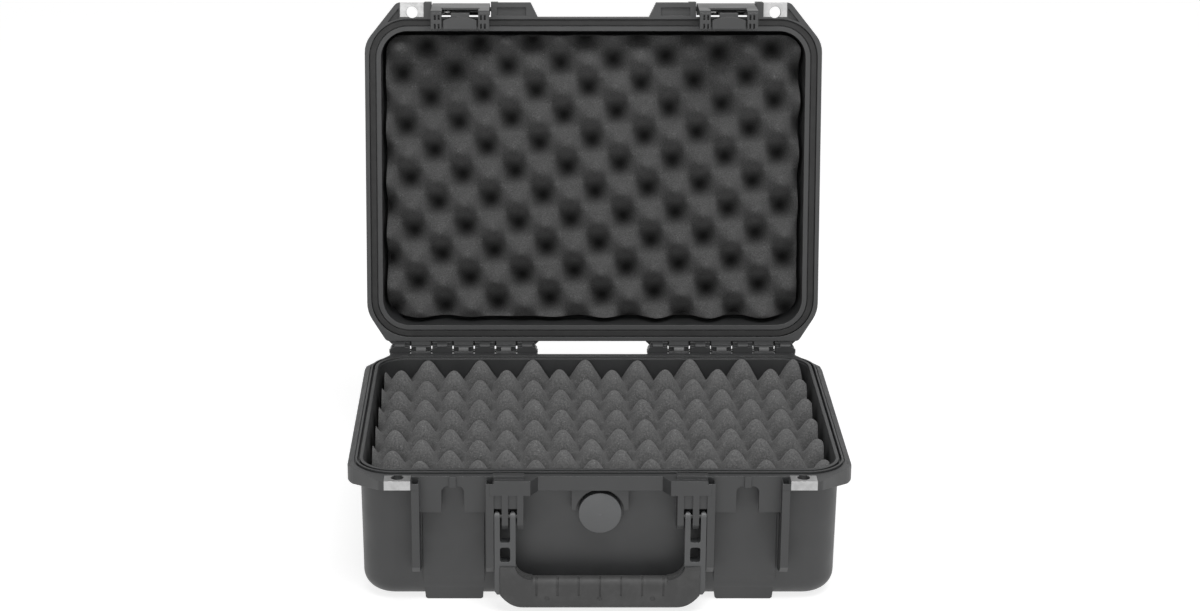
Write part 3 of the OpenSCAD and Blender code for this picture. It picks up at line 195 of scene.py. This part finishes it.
def steel(name, tone, roughness, brush, cloud):
    """Stainless steel: a fine brushed grain along one way, with clouds of handling marks."""
    s = Shader(name, Metallic=1.0)
    rounded, edge = s.round_edges(0.25 * MM)
    lines = s.noise(0.6 * MM, 3.0, 0.6, brush)
    clouds = s.spread(s.noise(7 * MM, 3.0, 0.6), 0.35, 0.7)
    marked = s.mix(s.maths("MULTIPLY", clouds, cloud), grey(tone), grey(tone * 0.6))
    # Paler edges: a painted highlight.
    s.into("Base Color", s.mix(s.maths("MULTIPLY", edge, 0.3), marked, grey(min(1.0, tone * 1.2))))
    dull = s.spread(lines, 0.3, 0.7, roughness - 0.06, roughness + 0.06)
    s.into("Roughness", s.maths("ADD", dull, s.maths("MULTIPLY", clouds, 0.12)))
    s.into("Normal", s.bump(lines, 0.01 * MM, rounded))
    return s.material


def foam(name, tone, painted_pit_shade, rim):
    """Open-cell foam: pores of about a millimetre, some bright, and painted shade that darkens it from
    the depth rim down into its pits.
    """
    s = Shader(name, Roughness=1.0, Specular_IOR_Level=0.08, Sheen_Weight=0.15, Sheen_Roughness=0.6)
    pores = s.spread(s.cells(1.3 * MM), 0.1, 0.7)
    grain = s.spread(s.noise(1.6 * MM, 3.0, 0.7), 0.3, 0.7)
    slow = s.spread(s.noise(30 * MM, 2.0), 0.3, 0.7)
    base = s.mix(grain, grey(tone * 0.55), grey(tone * 1.45))
    base = s.mix(s.maths("MULTIPLY", pores, 0.35), base, grey(tone * 0.4))
    base = s.mix(s.maths("MULTIPLY", slow, 0.2), base, grey(tone * 1.3))
    flecks = s.spread(s.noise(1.0 * MM, 0.0), 0.72, 0.8)
    base = s.mix(s.maths("MULTIPLY", flecks, 0.5), base, grey(tone * 2.4))
    # Painted shade: darker colour down into the pits, read from the depth attribute.
    depth = s.add("Attribute", attribute_name="depth").outputs["Fac"]
    s.into("Base Color", s.mix(s.spread(depth, rim, 1.0, 0.0, painted_pit_shade), base, grey(tone * 0.1)))
    fine = s.bump(s.cells(1.3 * MM), 0.35 * MM, None, 0.8)
    s.into("Normal", s.bump(s.noise(0.7 * MM, 3.0), 0.2 * MM, fine, 0.8))
    return s.material


def dress(material, *names):
    """Gives the CAD nodes of those names that material."""
    for name in names:
        slots = frame["nodes"][name].data.materials
        slots.clear()
        slots.append(material)


def both(stem):
    return (stem + "_left", stem + "_right")


def dress_nodes():
    case = moulded_plastic("case", tone=0.022, roughness=0.5, gloss=0.75, wear_and_highlight=0.6)
    # Darker than the case: painted shade on the latches.
    latch = moulded_plastic("latch", tone=0.018, roughness=0.42, gloss=0.7, wear_and_highlight=0.7)
    handle = moulded_plastic("handle", tone=0.045, roughness=0.45, gloss=0.8, wear_and_highlight=0.6)
    valve = moulded_plastic("valve", tone=0.07, roughness=0.35, gloss=0.8, grain=0.3 * MM)
    plates = steel("plate_steel", tone=0.48, roughness=0.34, brush=(0.06, 1, 1), cloud=0.5)
    springs = steel("spring_steel", tone=0.6, roughness=0.22, brush=(0.05, 1, 1), cloud=0.15)
    # Dark steel: the handle pins' own dark finish, and painted shade on the hinge pins, which sit in
    # dark gaps.
    pins = steel("pin_steel", tone=0.1, roughness=0.45, brush=(0.05, 1, 1), cloud=0.3)
    dress(case, "base_shell", "lid_shell")
    dress(latch, *both("latch_body"), *both("latch_trigger"))
    dress(handle, "handle_frame")
    dress(rubber("grip", tone=0.06, roughness=0.55), "handle_grip")
    dress(valve, "valve_body", "valve_cap", "valve_nut")
    dress(rubber("seal", tone=0.022, roughness=0.55), "lid_gasket", "valve_seal")
    dress(rubber("membrane", tone=0.6, roughness=0.7), "valve_membrane")
    dress(plates, *both("padlock_plate_base"), *both("padlock_plate_lid"))
    dress(springs, *both("trigger_spring"))
    dress(pins, *both("hinge_pin"), *both("handle_pin"), *both("latch_pin"), *both("trigger_pin"))


# ---------------------------------------------------------------- foams

GRID = 1.6 * MM  # spacing of the foam surface's points
ROW_CROWDING = 0.55  # how strongly the rows crowd at the front and the back
SIDE_STEPS = 6  # rows of faces up each side
SHEET_CORNER = 16 * MM  # corners of the convoluted sheets, seen from above
CRATE_WAVE = 16 * MM  # from a sheet's middle level to its peaks
RIM_Z = 120.0 * MM  # top of the base's rim

BASE_PITCH = 49 * MM  # lattice of the base's sheet
BASE_TURN = 0.6
BASE_PIT = (-179 * MM, 127 * MM)
BASE_LEVEL = RIM_Z - 17 * MM  # middle level of its surface
BASE_DISH = 2.5 * MM  # how far its front and back edges stand up
BASE_LEAN = 1.5 * MM  # and how far it rises from its middle to the back
BASE_SEED = 3.0

BLOCK_CORNER = 26 * MM  # corners of the plain block under it, seen from above
BLOCK_FILLET = 14 * MM  # and of its underside
BLOCK_INSET = 0.5 * MM  # what it stays inside its CAD solid

LID_PITCH = 50 * MM  # lattice of the lid's sheet
LID_TURN = -3.9
LID_PEAK = (-181.5 * MM, -122 * MM)
LID_HALF_DEPTH = 134 * MM
LID_CEILING = RIM_Z + 49.1 * MM  # the closed lid's inside
LID_THICKNESS = 23.1 * MM  # at the middle level
LID_FILLET = 15 * MM  # of the sheet's back
LID_SEED = 31.0


def bow(t):
    """Spacing for -1..1 that crowds rows towards both ends, where the corners turn."""
    return math.copysign(abs(math.sin(t * math.pi / 2)) * ROW_CROWDING + abs(t) * (1 - ROW_CROWDING), t)


def sheet_rows(half_w, half_d, corner):
    """Rows of plan points that fill a rectangle with round corners, front to back."""
    across = int(2 * half_w / GRID)
    along = int(2 * half_d / GRID)
    rows = []
    for j in range(along + 1):
        y = half_d * bow(2 * j / along - 1)
        into_corner = max(0.0, abs(y) - (half_d - corner))
        reach = half_w - corner + math.sqrt(max(0.0, corner**2 - into_corner**2))
        rows.append([(reach * (2 * i / across - 1), y) for i in range(across + 1)])
    return rows


def closed_sheet(name, rows, top, bottom, depth):
    """A solid between top(x, y) and bottom(x, y) over rows of plan points, with even sides.

    depth(x, y), from 0 on a peak to 1 in a pit, is kept on the points for the material, which paints
    shade into the pits with it.
    """
    wide, deep = len(rows[0]), len(rows)
    flat = [p for row in rows for p in row]
    points = [(x, y, top(x, y)) for x, y in flat] + [(x, y, bottom(x, y)) for x, y in flat]
    under = wide * deep
    faces = []
    for j in range(deep - 1):
        for i in range(wide - 1):
            a = j * wide + i
            ring = (a, a + 1, a + wide + 1, a + wide)
            faces.append(ring)
            faces.append(tuple(under + k for k in reversed(ring)))
    edge = list(range(wide))
    edge += [j * wide + wide - 1 for j in range(1, deep)]
    edge += [(deep - 1) * wide + i for i in range(wide - 2, -1, -1)]
    edge += [j * wide for j in range(deep - 2, 0, -1)]
    above = edge
    for step in range(1, SIDE_STEPS + 1):
        if step == SIDE_STEPS:
            below = [under + e for e in edge]
        else:
            first = len(points)
            share = step / SIDE_STEPS
            for e in edge:
                x, y, z = points[e]
                points.append((x, y, z + (points[under + e][2] - z) * share))
            below = list(range(first, len(points)))
        for k in range(len(edge)):
            n = (k + 1) % len(edge)
            faces.append((above[k], below[k], below[n], above[n]))
        above = below
    mesh = bpy.data.meshes.new(name)
    mesh.from_pydata(points, [], faces)
    mesh.shade_smooth()
    kept = mesh.attributes.new("depth", "FLOAT", "POINT")
    kept.data.foreach_set("value", [depth(x, y) for x, y, z in points])
    return mesh


def crate(x, y, pitch, turn, origin):
    """Height of convoluted foam, -1..1, on a square lattice turned by turn degrees.

    A peak is at origin.
    """
    a = math.radians(turn)
    dx, dy = x - origin[0], y - origin[1]
    u = dx * math.cos(a) + dy * math.sin(a)
    v = -dx * math.sin(a) + dy * math.cos(a)
    return math.cos(2 * math.pi * u / pitch) * math.cos(2 * math.pi * v / pitch)


# Each part of the foam's unevenness: its size, its height, and what is added to the seed.
UNEVEN = ((55 * MM, 1.1 * MM, 0), (9 * MM, 0.35 * MM, 9), (2.5 * MM, 0.16 * MM, 17))


def unevenness(x, y, seed):
    """How far real foam strays from its pattern, in metres."""
    return sum(noise.noise(Vector((x, y, seed + more)) / size) * height for size, height, more in UNEVEN)


def round_edge(x, y, half_w, half_d, radius):
    """How far a rectangle's face turns away along its edges: radius at an edge, 0 further in."""
    near = max(0.0, min(half_w - abs(x), half_d - abs(y), radius))
    return radius - math.sqrt(max(0.0, radius**2 - (radius - near) ** 2))


def no_depth(x, y):
    return 0.0


def add_piece(name, mesh, material, body, slot, *nodes):
    piece = bpy.data.objects.new(name, mesh)
    bpy.context.scene.collection.objects.link(piece)
    mesh.materials.append(material)
    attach(piece, body)
    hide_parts(*nodes)
    return piece


def base_foams():
    """The block and the convoluted sheet in the base."""
    # The sheet's pits get painted shade.
    material = foam("base_foam", tone=0.16, painted_pit_shade=0.9, rim=0.2)
    low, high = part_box("base_foam_crate")
    to_middle = Matrix.Translation((0, (low.y + high.y) / 2, 0))
    half_w, half_d = high.x, (high.y - low.y) / 2
    underside = low.z

    def wave(x, y):
        return -crate(x, y, BASE_PITCH, BASE_TURN, BASE_PIT)

    def top(x, y):
        back = y / half_d
        level = BASE_LEVEL + BASE_DISH * back**2 + BASE_LEAN * back
        return level + CRATE_WAVE * wave(x, y) + unevenness(x, y, BASE_SEED)

    def bottom(x, y):
        return underside

    def depth(x, y):
        return (1 - wave(x, y)) / 2

    rows = sheet_rows(half_w, half_d, SHEET_CORNER)
    mesh = closed_sheet("base_foam_sheet", rows, top, bottom, depth)
    mesh.transform(to_middle)
    sheet = add_piece("base_foam_sheet", mesh, material, "base", "base_foam", "base_foam_crate")

    low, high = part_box("base_foam_block")

    def block_top(x, y):
        return high.z - BLOCK_INSET

    def block_bottom(x, y):
        """The block's underside turns up along its edges, where the shell's floor does."""
        return low.z + BLOCK_INSET + round_edge(x, y, half_w, half_d, BLOCK_FILLET)

    rows = sheet_rows(half_w - BLOCK_INSET, half_d - BLOCK_INSET, BLOCK_CORNER)
    mesh = closed_sheet("base_foam_under", rows, block_top, block_bottom, no_depth)
    mesh.transform(to_middle)
    block = add_piece("base_foam_under", mesh, material, "base", "base_foam", "base_foam_block")


def lid_foams():
    """The convoluted sheet in the lid, made as if the lid were closed and then opened with it."""
    # A darker tone than the base foam's, though it is the same foam: painted shade for the lid's lesser
    # light, besides the painted shade in its pits.
    material = foam("lid_foam", tone=0.1, painted_pit_shade=0.95, rim=0.5)
    hinge = next(j for j in frame["joints"] if j["name"] == "lid_hinge")
    pivot = Vector(hinge["pos_m"])
    opened = Matrix.Rotation(math.radians(-hinge["range_deg"][1]), 4, "X")
    front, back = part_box("base_foam_crate")
    to_middle = Matrix.Translation((0, (front.y + back.y) / 2, 0))
    half_w, half_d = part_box("lid_foam_crate")[1].x, LID_HALF_DEPTH

    def wave(x, y):
        return crate(x, y, LID_PITCH, LID_TURN, LID_PEAK)

    def under(x, y):
        level = LID_CEILING - LID_THICKNESS
        return level - CRATE_WAVE * wave(x, y) + unevenness(x, y, LID_SEED)

    def over(x, y):
        """The back of the sheet turns down along its edges, where the lid's fillet does."""
        return LID_CEILING - round_edge(x, y, half_w, half_d, LID_FILLET)

    def depth(x, y):
        return (1 - wave(x, y)) / 2

    rows = sheet_rows(half_w, half_d, SHEET_CORNER)
    mesh = closed_sheet("lid_foam_sheet", rows, over, under, depth)
    mesh.transform(to_middle)
    mesh.transform(Matrix.Translation(pivot) @ opened @ Matrix.Translation(-pivot))
    sheet = add_piece("lid_foam_sheet", mesh, material, "lid", "lid_foam", "lid_foam_crate")


# ---------------------------------------------------------------- studio


def seen_directly(tree):
    """1 where the camera, a mirror or glass looks at it, 0 where it lights the object."""
    path = tree.nodes.new("ShaderNodeLightPath")
    either = tree.nodes.new("ShaderNodeMath")
    either.operation = "MAXIMUM"
    tree.links.new(path.outputs["Is Camera Ray"], either.inputs[0])
    tree.links.new(path.outputs["Is Glossy Ray"], either.inputs[1])
    last = tree.nodes.new("ShaderNodeMath")
    last.operation = "MAXIMUM"
    tree.links.new(either.outputs[0], last.inputs[0])
    tree.links.new(path.outputs["Is Transmission Ray"], last.inputs[1])
    return last.outputs[0]


WORLD_LIGHT = 0.3  # as it lights the object; it shows at 1, which is white


def make_world():
    world = bpy.data.worlds.new("studio")
    world.use_nodes = True
    tree = world.node_tree
    background = tree.nodes["Background"]
    background.inputs["Color"].default_value = (1, 1, 1, 1)
    level = tree.nodes.new("ShaderNodeMapRange")
    level.inputs["To Min"].default_value = WORLD_LIGHT
    level.inputs["To Max"].default_value = 1.0
    tree.links.new(seen_directly(tree), level.inputs["Value"])
    tree.links.new(level.outputs["Result"], background.inputs["Strength"])
    bpy.context.scene.world = world


FLOOR_COLOUR = 0.8  # as it lights the object
FLOOR_COLOUR_SEEN = 0.45  # as it shows, where the glow takes it to white
FLOOR_GLOW = 0.78
FLOOR_REACH = 9.0  # metres each way


def make_floor():
    """A pale floor that shows white to the camera and still takes the object's shadow."""
    mesh = bpy.data.meshes.new("floor")
    corners = [(FLOOR_REACH * x, FLOOR_REACH * y, 0) for x, y in ((-1, -1), (1, -1), (1, 1), (-1, 1))]
    mesh.from_pydata(corners, [], [(0, 1, 2, 3)])
    floor = bpy.data.objects.new("floor", mesh)
    bpy.context.scene.collection.objects.link(floor)
    material = bpy.data.materials.new("floor")
    material.use_nodes = True
    tree = material.node_tree
    shader = tree.nodes["Principled BSDF"]
    seen = seen_directly(tree)
    shade = tree.nodes.new("ShaderNodeMapRange")
    shade.inputs["To Min"].default_value = FLOOR_COLOUR
    shade.inputs["To Max"].default_value = FLOOR_COLOUR_SEEN
    tree.links.new(seen, shade.inputs["Value"])
    tree.links.new(shade.outputs["Result"], shader.inputs["Base Color"])
    shader.inputs["Roughness"].default_value = 0.9
    shader.inputs["Emission Color"].default_value = (1, 1, 1, 1)
    glow = tree.nodes.new("ShaderNodeMath")
    glow.operation = "MULTIPLY"
    glow.inputs[1].default_value = FLOOR_GLOW
    tree.links.new(seen, glow.inputs[0])
    tree.links.new(glow.outputs[0], shader.inputs["Emission Strength"])
    mesh.materials.append(material)


def add_light(name, at, target, size, power):
    data = bpy.data.lights.new(name, "AREA")
    data.shape = "RECTANGLE"
    data.size, data.size_y = size
    data.energy = power
    light = bpy.data.objects.new(name, data)
    light.location = at
    light.rotation_euler = (Vector(target) - Vector(at)).to_track_quat("-Z", "Y").to_euler()
    bpy.context.scene.collection.objects.link(light)


def make_lights():
    centre = (0, 0, 0.2)
    add_light("key", at=(0.35, -1.1, 2.3), target=centre, size=(1.6, 1.2), power=34)
    add_light("front", at=(-0.5, -2.6, 1.1), target=centre, size=(2.0, 1.4), power=10)


# ---------------------------------------------------------------- the scene

make_camera()
make_world()
make_floor()
make_lights()
dress_nodes()
base_foams()
lid_foams()

bpy.context.scene.view_settings.view_transform = "Standard"
